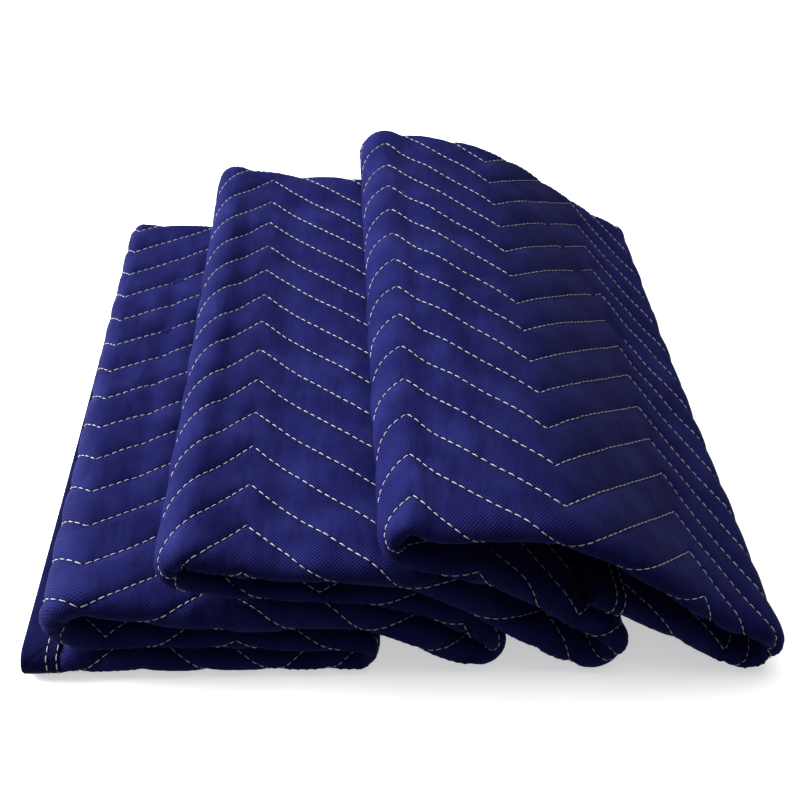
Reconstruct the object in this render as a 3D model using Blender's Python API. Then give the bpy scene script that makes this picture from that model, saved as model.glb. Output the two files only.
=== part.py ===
"""Moving blanket, folded: one quilted sheet folded in three across its width, then pleated into eight layers
that fan out to the right in three lobes, and the binding sewn round its two ends.

The sheet is placed by two folds, one after the other. Across the width it is a letter fold: a tucked panel,
the back fold, an upper panel, the rounded front fold and a lower panel. Along the length that folded pad runs
like a belt round seven rods, the pleats, which taper from the puffed front to the flatter back.
The frame is metres, +X to the right along the fan, +Y from the front rim to the back, +Z up, and the origin
is on the floor under the middle of the folded blanket.
"""

import bpy
import numpy as np

DEPTH = 0.610  # front rim to back fold, a third of the sheet's width
FRONT = -DEPTH / 2
PLY = 0.0055  # thickness of the quilted sheet where nothing presses it
PLY_SHARE = 0.28  # most of a pad's thickness that one of its three plies takes
EASE = 2.0  # how early the pleats settle from their front size to their back size

FRONT_ROUND = 0.012  # how far the front fold bulges past its panels
BACK_ROUND = 0.005
BINDING_WIDTH = 0.028
BINDING_CLOTH = 0.0012
CLEARANCE = 0.0003
SHARP_ANGLE = np.radians(40.0)

FINE_STEPS = 60  # steps in each layer and each pleat, between which the mesh stations are placed
ROW_MARGIN = 4.0  # fewest fine steps between a binding and the next mesh row
PLEAT_STEPS = 5
FRONT_STEPS = 6
BACK_STEPS = 5
PANEL_PLACES = (0.0, 0.07, 0.20, 0.40, 0.60, 0.80, 1.0)  # across a panel, closer together near the front

# The folded pad's two ends. Each place gives x and z of its middle, a radius of nothing and its thickness, and
# inset how far the front rim and the back fold stand in there.
START = {
    "turn": 0, "inset": (0.000, 0.035),
    "front": (-0.275, 0.0120, 0.0000, 0.024), "back": (-0.275, 0.0060, 0.0000, 0.012),
}
END = {
    "turn": 0, "inset": (0.008, 0.030),
    "front": (0.127, 0.0800, 0.0000, 0.019), "back": (0.127, 0.0480, 0.0000, 0.012),
}

# The pleats in order. Turn is 1 where the pad turns up and to the left, -1 where it turns to the right. Each
# place gives x, z and radius of the pad's middle line round the pleat, and the pad's thickness there.
PLEATS = [
    {
        "name": "right 1", "turn": 1, "inset": (0.006, 0.030),
        "front": (-0.032, 0.0180, 0.0095, 0.017), "back": (-0.034, 0.0115, 0.0060, 0.011),
    },
    {
        "name": "left 1", "turn": -1, "inset": (0.000, 0.052),
        "front": (-0.225, 0.0570, 0.0190, 0.025), "back": (-0.257, 0.0265, 0.0080, 0.012),
    },
    {
        "name": "right 2", "turn": 1, "inset": (0.008, 0.020),
        "front": (0.055, 0.0235, 0.0120, 0.019), "back": (0.056, 0.0145, 0.0080, 0.013),
    },
    {
        "name": "left 2", "turn": -1, "inset": (0.004, -0.002),
        "front": (-0.149, 0.1090, 0.0125, 0.022), "back": (-0.153, 0.0650, 0.0160, 0.014),
    },
    {
        "name": "right 3", "turn": 1, "inset": (0.006, 0.025),
        "front": (0.137, 0.0270, 0.0160, 0.022), "back": (0.140, 0.0155, 0.0090, 0.013),
    },
    {
        "name": "left 3", "turn": -1, "inset": (0.000, -0.0025),
        "front": (0.002, 0.1410, 0.0140, 0.020), "back": (0.008, 0.1020, 0.0220, 0.014),
    },
    {
        "name": "right 4", "turn": -1, "inset": (0.004, 0.035),
        "front": (0.248, 0.0265, 0.0170, 0.020), "back": (0.261, 0.0138, 0.0080, 0.012),
    },
]

# The layers between the pleats. Puff is the thickness added half way along, bow how far the layer arches up,
# each as (front, back), peak the share of the way along where the arch is highest, and steps the mesh steps.
LAYERS = [
    {"name": "1", "puff": (0.003, -0.001), "bow": (0.000, 0.000), "peak": 0.50, "steps": 4},
    {"name": "2", "puff": (-0.005, -0.002), "bow": (0.002, 0.000), "peak": 0.50, "steps": 4},
    {"name": "3", "puff": (0.008, -0.001), "bow": (0.024, 0.0245), "peak": 0.68, "steps": 5},
    {"name": "4", "puff": (-0.005, -0.0015), "bow": (0.020, 0.0240), "peak": 0.34, "steps": 5},
    {"name": "5", "puff": (0.002, -0.0015), "bow": (0.036, 0.0245), "peak": 0.54, "steps": 5},
    {"name": "6", "puff": (0.000, -0.0015), "bow": (0.012, 0.004), "peak": 0.50, "steps": 4},
    {"name": "7", "puff": (0.001, 0.0), "bow": (0.034, 0.024), "peak": 0.42, "steps": 6},
    {"name": "8", "puff": (0.000, 0.0), "bow": (0.004, 0.004), "peak": 0.50, "steps": 3},
]

NAVY = (0.018, 0.022, 0.150, 1.0)
BINDING_NAVY = (0.014, 0.017, 0.115, 1.0)


def clear_scene():
    for obj in list(bpy.data.objects):
        bpy.data.objects.remove(obj, do_unlink=True)


def fabric(name, color, roughness):
    material = bpy.data.materials.new(name)
    material.use_nodes = True
    shader = material.node_tree.nodes["Principled BSDF"]
    shader.inputs["Base Color"].default_value = color
    shader.inputs["Roughness"].default_value = roughness
    shader.inputs["Metallic"].default_value = 0.0
    return material


def settled(sizes, y):
    """A size at depth y, from its (front, back) pair: it changes fast near the front, then levels off."""
    share = np.clip((y - FRONT) / DEPTH, 0.0, 1.0)
    return sizes[0] + (sizes[1] - sizes[0]) * (1.0 - (1.0 - share) ** EASE)


def rods_at(y):
    """x, z, radius and pad thickness at each rod that the pad passes, its two ends among them, at depths y."""
    rods = [START, *PLEATS, END]
    front, back = (np.array([rod[place] for rod in rods])[:, :, None] for place in ("front", "back"))
    return settled((front, back), y).transpose(1, 0, 2)


def tangents(x, z, radius):
    """Which way the pad turns at each rod, and the direction of the line between each rod and the next.

    Each line is tangent to both rods, and each heading carries on from the one before it."""
    turn = np.array([[rod["turn"]] for rod in (START, *PLEATS, END)], float)
    across, up = np.diff(x, axis=0), np.diff(z, axis=0)
    heading = np.arctan2(up, across) - np.arcsin(np.diff(turn * radius, axis=0) / np.hypot(across, up))
    heading[0] = 0.0  # the first layer lies flat on the floor
    for i in range(1, len(heading)):
        heading[i] = heading[i - 1] + turn[i] * np.mod(turn[i] * (heading[i] - heading[i - 1]), 2 * np.pi)
    return turn, heading


def pad_line(y):
    """x, z, upward normal and thickness of the folded pad's middle line, finely stepped, at depths y.

    A layer is its tangent line raised by a hump of sine squared, a pleat is an arc round its rod."""
    x, z, radius, thickness = rods_at(y)
    turn, heading = tangents(x, z, radius)
    share = np.linspace(0.0, 1.0, FINE_STEPS + 1)[:, None]
    smooth = share * share * (3.0 - 2.0 * share)
    reach = turn * radius
    runs = []
    for i, layer in enumerate(LAYERS):
        leave_x = x[i] + reach[i] * np.sin(heading[i])
        leave_z = z[i] - reach[i] * np.cos(heading[i])
        meet_x = x[i + 1] + reach[i + 1] * np.sin(heading[i])
        meet_z = z[i + 1] - reach[i + 1] * np.cos(heading[i])
        puff = settled(layer["puff"], y) * np.sin(np.pi * share) ** 2
        hump = np.sin(np.pi * share ** (np.log(0.5) / np.log(layer["peak"]))) ** 2
        thick = thickness[i] + (thickness[i + 1] - thickness[i]) * smooth + puff
        line_z = leave_z + (meet_z - leave_z) * share + settled(layer["bow"], y) * hump
        runs.append((leave_x + (meet_x - leave_x) * share, thick / 2 if i == 0 else line_z, thick))
        if i < len(PLEATS):
            angle = heading[i] + (heading[i + 1] - heading[i]) * share
            arc_x = x[i + 1] + reach[i + 1] * np.sin(angle)
            arc_z = z[i + 1] - reach[i + 1] * np.cos(angle)
            runs.append((arc_x, arc_z, thickness[i + 1] + 0.0 * share))
    line_x, line_z, thick = (
        np.concatenate([run[k][:-1] for run in runs[:-1]] + [runs[-1][k]]) for k in range(3)
    )
    along_x, along_z = np.gradient(line_x, axis=0), np.gradient(line_z, axis=0)
    along_z[: FINE_STEPS + 1] = 0.0
    length = np.hypot(along_x, along_z)
    return line_x, line_z, -along_z / length, along_x / length, thick


def letter_fold():
    """The sheet's middle line across its width, as rows of (depth y, height, slope of its outer face).

    Height counts in reaches from the pad's middle to an outer ply's, and the slope is (y, height) unscaled."""
    panel = FRONT + FRONT_ROUND + PLY / 2 + np.array(PANEL_PLACES) * (DEPTH - FRONT_ROUND - BACK_ROUND - PLY)
    flat = np.ones_like(panel)
    back_turn = np.pi * np.arange(1, BACK_STEPS) / BACK_STEPS
    front_turn = np.pi * np.arange(1, FRONT_STEPS) / FRONT_STEPS
    back_out, back_up = np.sin(back_turn), np.cos(back_turn)
    front_out, front_up = np.sin(front_turn), np.cos(front_turn)
    pieces = [
        (panel, 0 * flat, 0 * flat, -flat),
        (panel[-1] + BACK_ROUND * back_out, (1 - back_up) / 2, back_out / 2, -back_up),
        (panel[::-1], flat, 0 * flat, flat),
        (panel[0] - FRONT_ROUND * front_out, front_up, -front_out, front_up),
        (panel, -flat, 0 * flat, -flat),
    ]
    y, height, out_y, out_up = (np.concatenate([piece[k] for piece in pieces]) for k in range(4))
    rounding = np.where(y > panel[-1], BACK_ROUND, FRONT_ROUND)
    return y, height, out_y, out_up, rounding


def insets():
    """How far the front rim and the back fold stand in, at each fine step along the pad."""
    rods = np.array([rod["inset"] for rod in (START, *PLEATS, END)])
    runs = len(LAYERS) + len(PLEATS)
    pleat_middles = FINE_STEPS * (2.0 * np.arange(len(PLEATS)) + 1.5)
    places = np.concatenate([[0.0], pleat_middles, [FINE_STEPS * runs]])
    steps = np.arange(FINE_STEPS * runs + 1)
    return np.interp(steps, places, rods[:, 0]), np.interp(steps, places, rods[:, 1])


def at_station(grid, station):
    """Rows of a finely stepped grid at stations that may fall between its steps."""
    low = np.clip(np.floor(station).astype(int), 0, len(grid) - 2)
    part = (station - low)[:, None]
    return grid[low] * (1.0 - part) + grid[low + 1] * part


def sheet_grid(station, offset):
    """Points of the sheet at the stations along it, offset from its middle by shares of half its thickness.

    The offset may be (share, metres inward from that face), so a cloth on the face keeps its own thickness."""
    y, height, out_y, out_up, rounding = letter_fold()
    line_x, line_z, normal_x, normal_z, thick = (at_station(grid, station) for grid in pad_line(y))
    ply = np.minimum(PLY, PLY_SHARE * thick)
    reach = (thick - ply) / 2
    face_y, face_up = out_y * reach, out_up * rounding
    length = np.hypot(face_y, face_up)
    share, inward = offset
    proud = (share * ply / 2 - np.sign(share) * inward) / length
    up = height * reach + face_up * proud
    front_in, back_in = (at_station(inset[:, None], station) for inset in insets())
    share_back = (y - FRONT) / DEPTH
    depth = y + face_y * proud + front_in * (1.0 - share_back) - back_in * share_back
    points = np.stack([line_x + normal_x * up, depth, line_z + normal_z * up], axis=-1)
    points[:, :, 2] = np.maximum(points[:, :, 2], 0.0)
    return points


def distances():
    """Length along the pad's middle line at each fine step, half way back."""
    line_x, line_z = (grid[:, 0] for grid in pad_line(np.zeros(1))[:2])
    return np.concatenate([[0.0], np.cumsum(np.hypot(np.diff(line_x), np.diff(line_z)))])


def station_at(distance):
    """The station that lies this far along the sheet; a negative distance counts from its far end."""
    run = distances()
    return np.interp(distance if distance >= 0 else run[-1] + distance, run, np.arange(len(run)))


def mesh_stations():
    """Stations of the mesh's cross rows, a few in each layer and pleat."""
    picked, at = [], 0.0
    for i, layer in enumerate(LAYERS):
        picked += [at + FINE_STEPS * k / layer["steps"] for k in range(layer["steps"])]
        at += FINE_STEPS
        if i < len(PLEATS):
            picked += [at + FINE_STEPS * k / PLEAT_STEPS for k in range(PLEAT_STEPS)]
            at += FINE_STEPS
    return np.array([*picked, at])


def loop_sweep(name, loops, caps, material, collection):
    """A closed solid from loops of points, each joined to the next, its two ends closed by the cap faces."""
    count, around = loops.shape[:2]
    ring = np.arange(around)
    following = np.roll(ring, -1)
    faces = []
    for i in range(count - 1):
        low, high = i * around, (i + 1) * around
        faces += np.stack([low + ring, low + following, high + following, high + ring], axis=1).tolist()
    last = (count - 1) * around
    faces += [list(reversed(cap)) for cap in caps]
    faces += [[last + corner for corner in cap] for cap in caps]
    mesh = bpy.data.meshes.new(name)
    mesh.from_pydata(loops.reshape(-1, 3).tolist(), [], faces)
    mesh.validate()
    mesh.materials.append(material)
    mesh.shade_smooth()
    mesh.set_sharp_from_angle(angle=SHARP_ANGLE)
    obj = bpy.data.objects.new(name, mesh)
    collection.objects.link(obj)
    return obj


def strip_caps(count):
    """Quads that close the end of a strip whose loop goes out along one face and comes back along the other."""
    return [[j, j + 1, 2 * count - 2 - j, 2 * count - 1 - j] for j in range(count - 1)]


def quilted_sheet(collection):
    """The whole sheet, thinned to a tongue at both ends where the binding goes round it."""
    first, last = station_at(BINDING_WIDTH + CLEARANCE), station_at(-BINDING_WIDTH - CLEARANCE)
    tip_in = BINDING_CLOTH + CLEARANCE
    inner = mesh_stations()
    inner = inner[(inner > first + ROW_MARGIN) & (inner < last - ROW_MARGIN)]
    body = np.concatenate([[first], inner, [last]])
    tongues = (np.array([station_at(tip_in), first]), np.array([last, station_at(-tip_in)]))
    rows = []
    for station, inward in ((tongues[0], tip_in), (body, 0.0), (tongues[1], tip_in)):
        outer, under = sheet_grid(station, (1.0, inward)), sheet_grid(station, (-1.0, inward))
        rows.append(np.concatenate([outer, under[:, ::-1]], axis=1))
    loops = np.concatenate(rows)
    cloth = fabric("quilted cloth", NAVY, 0.85)
    return loop_sweep("quilted_sheet", loops, strip_caps(loops.shape[1] // 2), cloth, collection)


def end_binding(name, side, collection):
    """A strip folded round the sheet's end: a U of thin cloth carried across the sheet's whole width.

    Side is 1 for the end that distances start from, and -1 for the far end."""
    edge = station_at(0.0) if side > 0 else station_at(distances()[-1])
    inner_edge = station_at(side * BINDING_WIDTH)
    tongue_tip = station_at(side * BINDING_CLOTH)
    stations = np.array([inner_edge, edge, edge, inner_edge, inner_edge, tongue_tip, tongue_tip, inner_edge])
    shares = (1.0, 1.0, -1.0, -1.0, -1.0, -1.0, 1.0, 1.0)
    inwards = (0.0, 0.0, 0.0, 0.0, BINDING_CLOTH, BINDING_CLOTH, BINDING_CLOTH, BINDING_CLOTH)
    corners = [sheet_grid(stations[k : k + 1], (shares[k], inwards[k]))[0] for k in range(len(stations))]
    loops = np.stack(corners, axis=1)
    if side < 0:
        loops = loops[::-1]
    caps = [[0, 1, 6, 7], [1, 2, 5, 6], [2, 3, 4, 5]]
    cloth = fabric(name.replace("_", " "), BINDING_NAVY, 0.8)
    return loop_sweep(name, loops, caps, cloth, collection)


def main():
    clear_scene()
    collection = bpy.data.collections.new("moving_blanket")
    bpy.context.scene.collection.children.link(collection)
    quilted_sheet(collection)
    end_binding("lower_end_binding", 1, collection)
    end_binding("inner_end_binding", -1, collection)
    print(f"sheet length {distances()[-1]:.3f} m")


main()
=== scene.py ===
# %% [markdown]
# # A folded moving blanket
# A moving blanket is one large quilt of two tough cloth faces with wadding between them, sewn together in
# rows of zigzag stitching and bound at its ends. Here it is folded in three across its width, and the
# folded pad is then pleated lengthwise into eight layers that fan out to the right in three lobes. The
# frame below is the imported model. Its solids are plain, so each cloth piece here replaces one of them.

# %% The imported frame
import bpy
import numpy as np
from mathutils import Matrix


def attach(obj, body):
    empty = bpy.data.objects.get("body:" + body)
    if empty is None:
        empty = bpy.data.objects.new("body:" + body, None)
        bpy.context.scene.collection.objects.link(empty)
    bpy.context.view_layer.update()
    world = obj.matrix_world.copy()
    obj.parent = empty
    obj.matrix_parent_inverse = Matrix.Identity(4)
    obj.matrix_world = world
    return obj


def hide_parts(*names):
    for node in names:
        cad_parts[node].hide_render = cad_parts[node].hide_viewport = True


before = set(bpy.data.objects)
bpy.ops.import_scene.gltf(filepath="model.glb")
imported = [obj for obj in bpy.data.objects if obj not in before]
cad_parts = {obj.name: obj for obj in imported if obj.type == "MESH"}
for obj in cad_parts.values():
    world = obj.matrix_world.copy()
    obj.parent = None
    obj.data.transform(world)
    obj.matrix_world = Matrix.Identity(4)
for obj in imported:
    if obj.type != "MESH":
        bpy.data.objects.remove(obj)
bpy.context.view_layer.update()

print("frame nodes:", sorted(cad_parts))

# %% [markdown]
# ## The two folds
# The pad's section is a belt round seven rods, the pleats. Each rod has a size at the front of the
# blanket and another at the back, because the front rims puff up and the back lies flatter. These are the
# sizes that the frame's solids have, so that the finished cloth lies exactly on them.

# %% Sizes of the folds
DEPTH = 0.610  # front rim to back fold
FRONT = -DEPTH / 2
PLY = 0.0055  # thickness of the quilt where nothing presses it
PLY_SHARE = 0.28  # most of a pad's thickness that one of its three plies takes
EASE = 2.0  # how early the pleats settle from their front size to their back size
FRONT_ROUND = 0.012  # how far the front rim bulges forward
BACK_ROUND = 0.005  # how far the back fold bulges backward
BINDING_WIDTH = 0.028
BINDING_CLOTH = 0.0012
CLEARANCE = 0.0003  # gap between the quilt and its bindings
FINE_STEPS = 60  # stations in each layer and in each pleat

# x, z, radius and thickness of the pad at its ends and round each pleat, at the front and at the back.
# Turn is 1 where the pad turns up and to the left, -1 where it turns to the right. Inset is how far the
# rim and the back fold stand in there.
RODS = [
    {
        "turn": 0, "inset": (0.000, 0.035),
        "front": (-0.275, 0.0120, 0.0000, 0.024), "back": (-0.275, 0.0060, 0.0000, 0.012),
    },
    {
        "turn": 1, "inset": (0.006, 0.030),
        "front": (-0.032, 0.0180, 0.0095, 0.017), "back": (-0.034, 0.0115, 0.0060, 0.011),
    },
    {
        "turn": -1, "inset": (0.000, 0.052),
        "front": (-0.225, 0.0570, 0.0190, 0.025), "back": (-0.257, 0.0265, 0.0080, 0.012),
    },
    {
        "turn": 1, "inset": (0.008, 0.020),
        "front": (0.055, 0.0235, 0.0120, 0.019), "back": (0.056, 0.0145, 0.0080, 0.013),
    },
    {
        "turn": -1, "inset": (0.004, -0.002),
        "front": (-0.149, 0.1090, 0.0125, 0.022), "back": (-0.153, 0.0650, 0.0160, 0.014),
    },
    {
        "turn": 1, "inset": (0.006, 0.025),
        "front": (0.137, 0.0270, 0.0160, 0.022), "back": (0.140, 0.0155, 0.0090, 0.013),
    },
    {
        "turn": -1, "inset": (0.000, -0.0025),
        "front": (0.002, 0.1410, 0.0140, 0.020), "back": (0.008, 0.1020, 0.0220, 0.014),
    },
    {
        "turn": -1, "inset": (0.004, 0.035),
        "front": (0.248, 0.0265, 0.0170, 0.020), "back": (0.261, 0.0138, 0.0080, 0.012),
    },
    {
        "turn": 0, "inset": (0.008, 0.030),
        "front": (0.127, 0.0800, 0.0000, 0.019), "back": (0.127, 0.0480, 0.0000, 0.012),
    },
]

# Puff is the thickness added half way along a layer, bow how far it arches up, each as (front, back), and
# peak is the share of the way along where the arch is highest.
LAYERS = [
    {"puff": (0.003, -0.001), "bow": (0.000, 0.000), "peak": 0.50},
    {"puff": (-0.005, -0.002), "bow": (0.002, 0.000), "peak": 0.50},
    {"puff": (0.008, -0.001), "bow": (0.024, 0.0245), "peak": 0.68},
    {"puff": (-0.005, -0.0015), "bow": (0.020, 0.0240), "peak": 0.34},
    {"puff": (0.002, -0.0015), "bow": (0.036, 0.0245), "peak": 0.54},
    {"puff": (0.000, -0.0015), "bow": (0.012, 0.004), "peak": 0.50},
    {"puff": (0.001, 0.0), "bow": (0.034, 0.024), "peak": 0.42},
    {"puff": (0.000, 0.0), "bow": (0.004, 0.004), "peak": 0.50},
]
PLEATS = len(LAYERS) - 1
LAST_STATION = FINE_STEPS * (len(LAYERS) + PLEATS)
print("layers:", len(LAYERS), "pleats:", PLEATS)

# %% [markdown]
# ## The pad's middle line
# Seen from the front, the folded pad is one long snake. Its line could be drawn by hand as a curve, but
# then each layer would need points of its own at the front and at the back. Here it is worked out like a
# belt: a straight tangent from rod to rod, raised by a hump where the layer arches, and an arc round each
# rod. The line changes slowly from front to back, so it is kept as a table of stations by depths, and any
# place is read from that.

# %% The pad's middle line
def settled(sizes, y):
    """Size at depth y from its (front, back) pair: front + change * (1 - (1 - share) to the power EASE)."""
    share = np.clip((y - FRONT) / DEPTH, 0.0, 1.0)
    return sizes[0] + (sizes[1] - sizes[0]) * (1.0 - (1.0 - share) ** EASE)


def pad_line(y):
    """x, z, upward normal (x, z) and thickness of the pad's middle line at its stations and at depths y.

    A layer is the tangent line between two rods, raised by a hump of sine squared. A pleat is an arc."""
    front, back = (np.array([rod[place] for rod in RODS])[:, :, None] for place in ("front", "back"))
    x, z, radius, thickness = settled((front, back), y).transpose(1, 0, 2)
    turn = np.array([[rod["turn"]] for rod in RODS], float)
    reach = turn * radius
    across, up = np.diff(x, axis=0), np.diff(z, axis=0)
    heading = np.arctan2(up, across) - np.arcsin(np.diff(reach, axis=0) / np.hypot(across, up))
    heading[0] = 0.0
    for i in range(1, len(heading)):
        turned = np.mod(turn[i] * (heading[i] - heading[i - 1]), 2 * np.pi)
        heading[i] = heading[i - 1] + turn[i] * turned
    share = np.linspace(0.0, 1.0, FINE_STEPS + 1)[:, None]
    smooth = share * share * (3.0 - 2.0 * share)
    runs = []
    for i, layer in enumerate(LAYERS):
        leave_x = x[i] + reach[i] * np.sin(heading[i])
        leave_z = z[i] - reach[i] * np.cos(heading[i])
        meet_x = x[i + 1] + reach[i + 1] * np.sin(heading[i])
        meet_z = z[i + 1] - reach[i + 1] * np.cos(heading[i])
        hump = np.sin(np.pi * share ** (np.log(0.5) / np.log(layer["peak"]))) ** 2
        puff = settled(layer["puff"], y) * np.sin(np.pi * share) ** 2
        thick = thickness[i] + (thickness[i + 1] - thickness[i]) * smooth + puff
        line_z = leave_z + (meet_z - leave_z) * share + settled(layer["bow"], y) * hump
        runs.append((leave_x + (meet_x - leave_x) * share, thick / 2 if i == 0 else line_z, thick))
        if i < PLEATS:
            angle = heading[i] + (heading[i + 1] - heading[i]) * share
            arc_x = x[i + 1] + reach[i + 1] * np.sin(angle)
            arc_z = z[i + 1] - reach[i + 1] * np.cos(angle)
            runs.append((arc_x, arc_z, thickness[i + 1] + 0.0 * share))
    line_x, line_z, thick = (
        np.concatenate([run[k][:-1] for run in runs[:-1]] + [runs[-1][k]]) for k in range(3)
    )
    along_x, along_z = np.gradient(line_x, axis=0), np.gradient(line_z, axis=0)
    along_z[: FINE_STEPS + 1] = 0.0
    length = np.hypot(along_x, along_z)
    return np.stack([line_x, line_z, -along_z / length, along_x / length, thick])


TABLE_DEPTHS = np.linspace(FRONT, -FRONT, 123)
PAD = pad_line(TABLE_DEPTHS)


def pad_at(station, depth):
    """The pad's middle line at any stations and depths, read between the table's four nearest entries."""
    station = np.clip(station, 0.0, LAST_STATION - 1e-6)
    place = np.clip((depth - FRONT) / DEPTH, 0.0, 1.0) * (len(TABLE_DEPTHS) - 1 - 1e-6)
    i, j = station.astype(int), place.astype(int)
    f, g = station - i, place - j
    near = PAD[:, i, j] * (1 - g) + PAD[:, i, j + 1] * g
    far = PAD[:, i + 1, j] * (1 - g) + PAD[:, i + 1, j + 1] * g
    return near * (1 - f) + far * f


print("stations:", LAST_STATION + 1, "highest middle line:", round(float(PAD[1].max()), 4), "m")

# %% [markdown]
# ## The letter fold
# Across its width the sheet is a letter fold: a lower panel, the rounded front rim, the upper panel, the
# back fold and a panel tucked inside. A place across the sheet is its distance from the middle of the
# front rim, negative on the lower panel. Each place gets a depth, a height inside the pad and the
# direction that its outer face looks.

# %% The letter fold across the sheet
PANEL = DEPTH - FRONT_ROUND - BACK_ROUND - PLY
RIM = 0.040  # cloth in the front rim
BACK_FOLD = 0.020  # cloth in the back fold
LOWER_EDGE = -RIM / 2 - PANEL
TUCKED_EDGE = RIM / 2 + PANEL + BACK_FOLD + PANEL


def letter_fold(across):
    """Depth, height, outward direction (y, up) and rounding at places across the sheet.

    The rim is half an ellipse, so its depth and height follow the sine and cosine of an angle that goes
    from 0 at the lower panel to pi at the upper one. The back fold follows a second angle the same way."""
    rim = np.pi * np.clip((across + RIM / 2) / RIM, 0.0, 1.0)
    past_rim = across - RIM / 2
    back = np.pi * np.clip((past_rim - PANEL) / BACK_FOLD, 0.0, 1.0)
    near = FRONT + FRONT_ROUND + PLY / 2
    lower = np.clip(-across - RIM / 2, 0.0, PANEL)
    upper = np.clip(past_rim, 0.0, PANEL)
    tucked = np.clip(past_rim - PANEL - BACK_FOLD, 0.0, PANEL)
    depth = near + lower + upper - tucked - FRONT_ROUND * np.sin(rim) + BACK_ROUND * np.sin(back)
    height = -np.cos(rim) - (1.0 - np.cos(back)) / 2
    out_y = -np.sin(rim) + np.sin(back) / 2
    out_up = np.where(past_rim > 0, np.cos(back), -np.cos(rim))
    rounding = np.where(past_rim > PANEL / 2, BACK_ROUND, FRONT_ROUND)
    return depth, height, out_y, out_up, rounding


def insets(station):
    """How far the front rim and the back fold stand in: straight lines between the pleats' middles."""
    middles = FINE_STEPS * (2.0 * np.arange(PLEATS) + 1.5)
    places = np.concatenate([[0.0], middles, [LAST_STATION]])
    front, back = np.array([rod["inset"] for rod in RODS]).T
    return np.interp(station, places, front), np.interp(station, places, back)


def sheet_points(station, across, side, lift):
    """Points on the sheet's outer face (side 1) or inner face (side -1), lifted by metres outwards.

    A point is the pad's middle line, moved along the pad's normal by the ply's height in the letter fold."""
    station, across = np.broadcast_arrays(station, across)
    depth, height, out_y, out_up, rounding = letter_fold(across)
    x, z, normal_x, normal_z, thick = pad_at(station, depth)
    ply = np.minimum(PLY, PLY_SHARE * thick)
    reach = (thick - ply) / 2
    face_y, face_up = out_y * reach, out_up * rounding
    proud = (side * ply / 2 + lift) / np.hypot(face_y, face_up)
    up = height * reach + face_up * proud
    front_in, back_in = insets(station)
    share = (depth - FRONT) / DEPTH
    y = depth + face_y * proud + front_in * (1.0 - share) - back_in * share
    return np.stack([x + normal_x * up, y, np.maximum(z + normal_z * up, 0.0)], axis=-1)


def cloth_run():
    """Length of cloth up to each station, half way back, taking the pad's longer face at every step."""
    x, z, normal_x, normal_z, thick = PAD[:, :, len(TABLE_DEPTHS) // 2]
    steps = [
        np.hypot(np.diff(x + side * normal_x * thick / 2), np.diff(z + side * normal_z * thick / 2))
        for side in (1, -1)
    ]
    return np.concatenate([[0.0], np.cumsum(np.maximum(*steps))])


def middle_run():
    """Length of the pad's middle line up to each station, half way back."""
    x, z = PAD[:2, :, len(TABLE_DEPTHS) // 2]
    return np.concatenate([[0.0], np.cumsum(np.hypot(np.diff(x), np.diff(z)))])


RUN = cloth_run()
MIDDLE_RUN = middle_run()
STATIONS = np.arange(LAST_STATION + 1.0)

# %% [markdown]
# ## The zigzag rows
# The quilting machine sews parallel rows that run along the sheet in a zigzag with arms at about
# forty-five degrees. One table of apexes describes every row: each entry says where the apex lies, in
# layers and pleats counted from the lower end, and how far across the sheet it stands. A valley points to
# the front rim, a peak to the back.

# %% The zigzag
ROW_PITCH = 0.0455
FIRST_ROW = 0.037  # place across the sheet of the row nearest the rim, at a peak
VALLEY = -2 * ROW_PITCH
# Each apex is (place along, place across): layer 1 is 0 to 1, its pleat 1 to 2, and so on; across is in
# metres.
APEXES = np.array([
    (0.00, VALLEY + 0.010), (0.36, 0.0), (0.75, VALLEY), (1.30, 0.0), (2.45, VALLEY), (2.92, 0.0),
    (3.95, VALLEY + 0.012), (4.33, 0.0), (4.71, VALLEY), (5.03, 0.0), (6.09, VALLEY), (6.56, 0.0),
    (7.25, VALLEY), (8.12, 0.012), (8.52, VALLEY), (8.88, 0.0), (9.47, VALLEY), (10.19, 0.0),
    (10.67, VALLEY), (11.85, 0.0), (12.375, VALLEY), (12.78, 0.024), (13.35, VALLEY), (14.10, 0.0),
    (15.00, VALLEY),
])
APEX_STATIONS = APEXES[:, 0] * FINE_STEPS
APEX_RUN = np.interp(APEX_STATIONS, STATIONS, RUN)
ROW_RUN = np.concatenate([[0.0], np.cumsum(np.hypot(np.diff(APEX_RUN), np.diff(APEXES[:, 1])))])


def zigzag(station):
    """How far across the sheet the zigzag stands at a station: straight arms between the apexes."""
    return np.interp(np.interp(station, STATIONS, RUN), APEX_RUN, APEXES[:, 1])


def channel(station, across):
    """Place in the quilting's channels: a whole number on every row, one half midway between two rows."""
    return (across - FIRST_ROW - zigzag(station)) / ROW_PITCH


ARM_COSINE = float(np.mean(np.diff(APEX_RUN) / np.diff(ROW_RUN)))
print("zigzag arms at", round(float(np.degrees(np.arccos(ARM_COSINE))), 1), "degrees")

# %% [markdown]
# ## The quilted relief
# Every row pulls the two faces together into a groove, and the wadding puffs up between the rows. Cloth
# that was folded many times is never even, so slow waves lie over the channels, and folds gather in the
# inner corners of the pleats. Nearly all relief goes inwards from the frame's surface, so that no layer
# runs into the next. Only two soft ridges stand out, beside folds on top, where nothing lies over them.
# The relief could be a displaced texture, but as a function of the place on the cloth it can carry the
# stitches along with it.

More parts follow.
